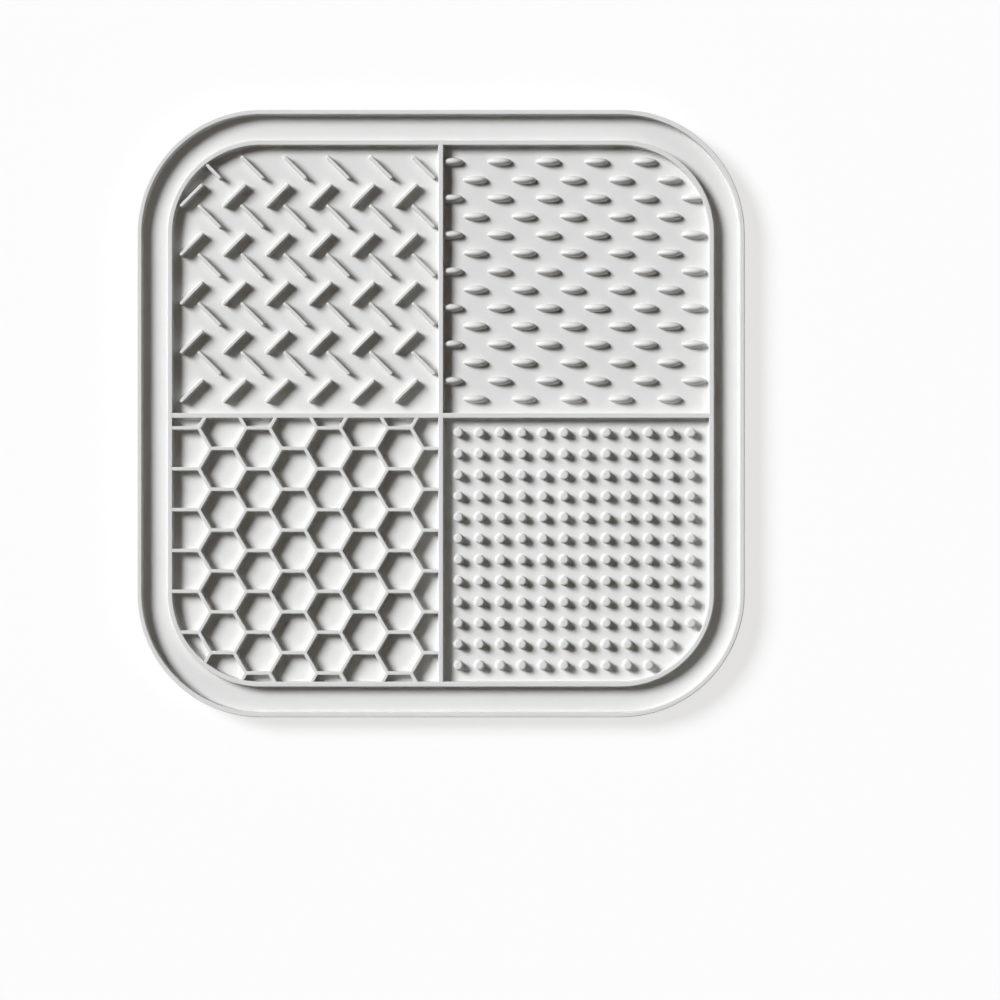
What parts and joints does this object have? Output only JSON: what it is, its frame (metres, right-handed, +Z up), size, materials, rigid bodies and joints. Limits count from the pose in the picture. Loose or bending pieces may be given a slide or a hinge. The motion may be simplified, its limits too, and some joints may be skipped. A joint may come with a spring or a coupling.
{
  "type": "lick mat",
  "caption": "Square silicone lick mat with a raised rim, an open channel and four differently textured quarters, on shallow suction cups.",
  "frame": {"origin": "middle of the mat, on the surface that its suction cups rest on", "axes": "+X to the right, +Y to the back (the top edge in the picture), +Z up, out of the textured face"},
  "size_m": [0.2, 0.2, 0.0082],
  "materials": {
    "silicone_sheet": "matte",
    "silicone_walls": "matte",
    "silicone_patterns": "matte",
    "silicone_cups": "satin"
  },
  "bodies": {
    "root": {"base_sheet": "silicone_sheet", "outer_lip": "silicone_walls", "inner_wall": "silicone_walls", "long_divider": "silicone_walls", "cross_divider": "silicone_walls", "rising_ribs": "silicone_patterns", "falling_ribs": "silicone_patterns", "oval_nubs": "silicone_patterns", "honeycomb_flat_bars": "silicone_patterns", "honeycomb_rising_bars": "silicone_patterns", "honeycomb_falling_bars": "silicone_patterns", "round_pegs": "silicone_patterns", "suction_cups": "silicone_cups"}
  },
  "joints": []
}
